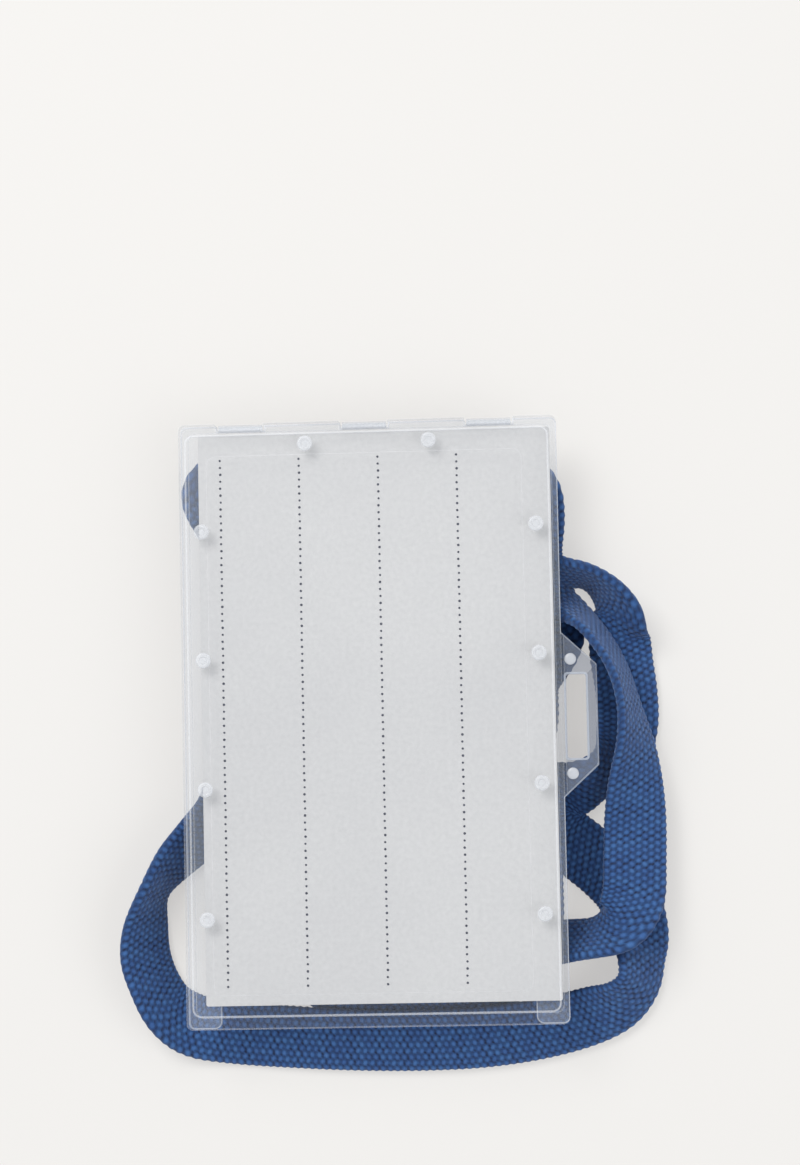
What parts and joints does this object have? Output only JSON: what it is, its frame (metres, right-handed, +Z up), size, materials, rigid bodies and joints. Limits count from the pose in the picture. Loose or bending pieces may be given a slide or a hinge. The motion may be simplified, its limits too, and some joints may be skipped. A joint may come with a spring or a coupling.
{
  "type": "lanyard",
  "caption": "Flat braided neck strap lying in loose turns, with a crimped swivel snap hook and a hinged rigid card holder with a slotted side tab.",
  "frame": {"origin": "on the surface the lanyard lies on, below the middle of its outline", "axes": "+Z up from the surface, +Y along the holder towards its hinged short edge, +X towards the slotted tab"},
  "size_m": [0.089, 0.103, 0.0132],
  "materials": {
    "braid": "matte braided polyester",
    "crimp_plate": "nickel plated",
    "hook_metal": "nickel plated",
    "small_steel": "bright",
    "shell_plastic": "frosted translucent",
    "cover_plastic": "frosted translucent",
    "hinge_plastic": "frosted translucent",
    "paper": "uncoated paper"
  },
  "bodies": {
    "strap": {"strap_winding": "braid", "strap_inner_run": "braid", "strap_tab_run": "braid", "strap_outer_run": "braid", "strap_crimp": "crimp_plate", "swivel_stud": "small_steel"},
    "snap_hook": {"hook_body": "hook_metal", "gate_pin": "small_steel", "gate_spring": "small_steel"},
    "gate": {"hook_gate": "hook_metal"},
    "holder": {"holder_back_shell": "shell_plastic", "film_hinge_left": "hinge_plastic", "film_hinge_middle": "hinge_plastic", "film_hinge_right": "hinge_plastic"},
    "cover": {"holder_front_cover": "cover_plastic"},
    "card": {"insert_card": "paper"}
  },
  "joints": [
    {"name": "hook_swivel", "type": "hinge", "parent": "strap", "child": "snap_hook", "pos_m": [0.00363, 0.00375, 0.0031], "axis": [0, 1, 0], "continuous": true},
    {"name": "gate_pivot", "type": "hinge", "parent": "snap_hook", "child": "gate", "pos_m": [0.00723, -0.00085, 0.0031], "axis": [0, 0, 1], "range_deg": [0, 22], "stiffness_Nm_per_rad": 0.001},
    {"name": "holder_lift", "type": "slide", "parent": "strap", "child": "holder", "axis": [0, 0, 1], "range_m": [0, 0.12]},
    {"name": "cover_hinge", "type": "hinge", "parent": "holder", "child": "cover", "pos_m": [-0.00237, 0.05165, 0.01035], "axis": [-1, 0, 0], "range_deg": [0, 180]},
    {"name": "card_tip", "type": "hinge", "parent": "holder", "child": "card", "pos_m": [-0.00237, 0.04985, 0.01065], "axis": [-1, 0, 0], "range_deg": [0, 36]}
  ],
  "couplings": [
    {"joint": "card_tip", "follows": "cover_hinge", "ratio": 0.2}
  ]
}
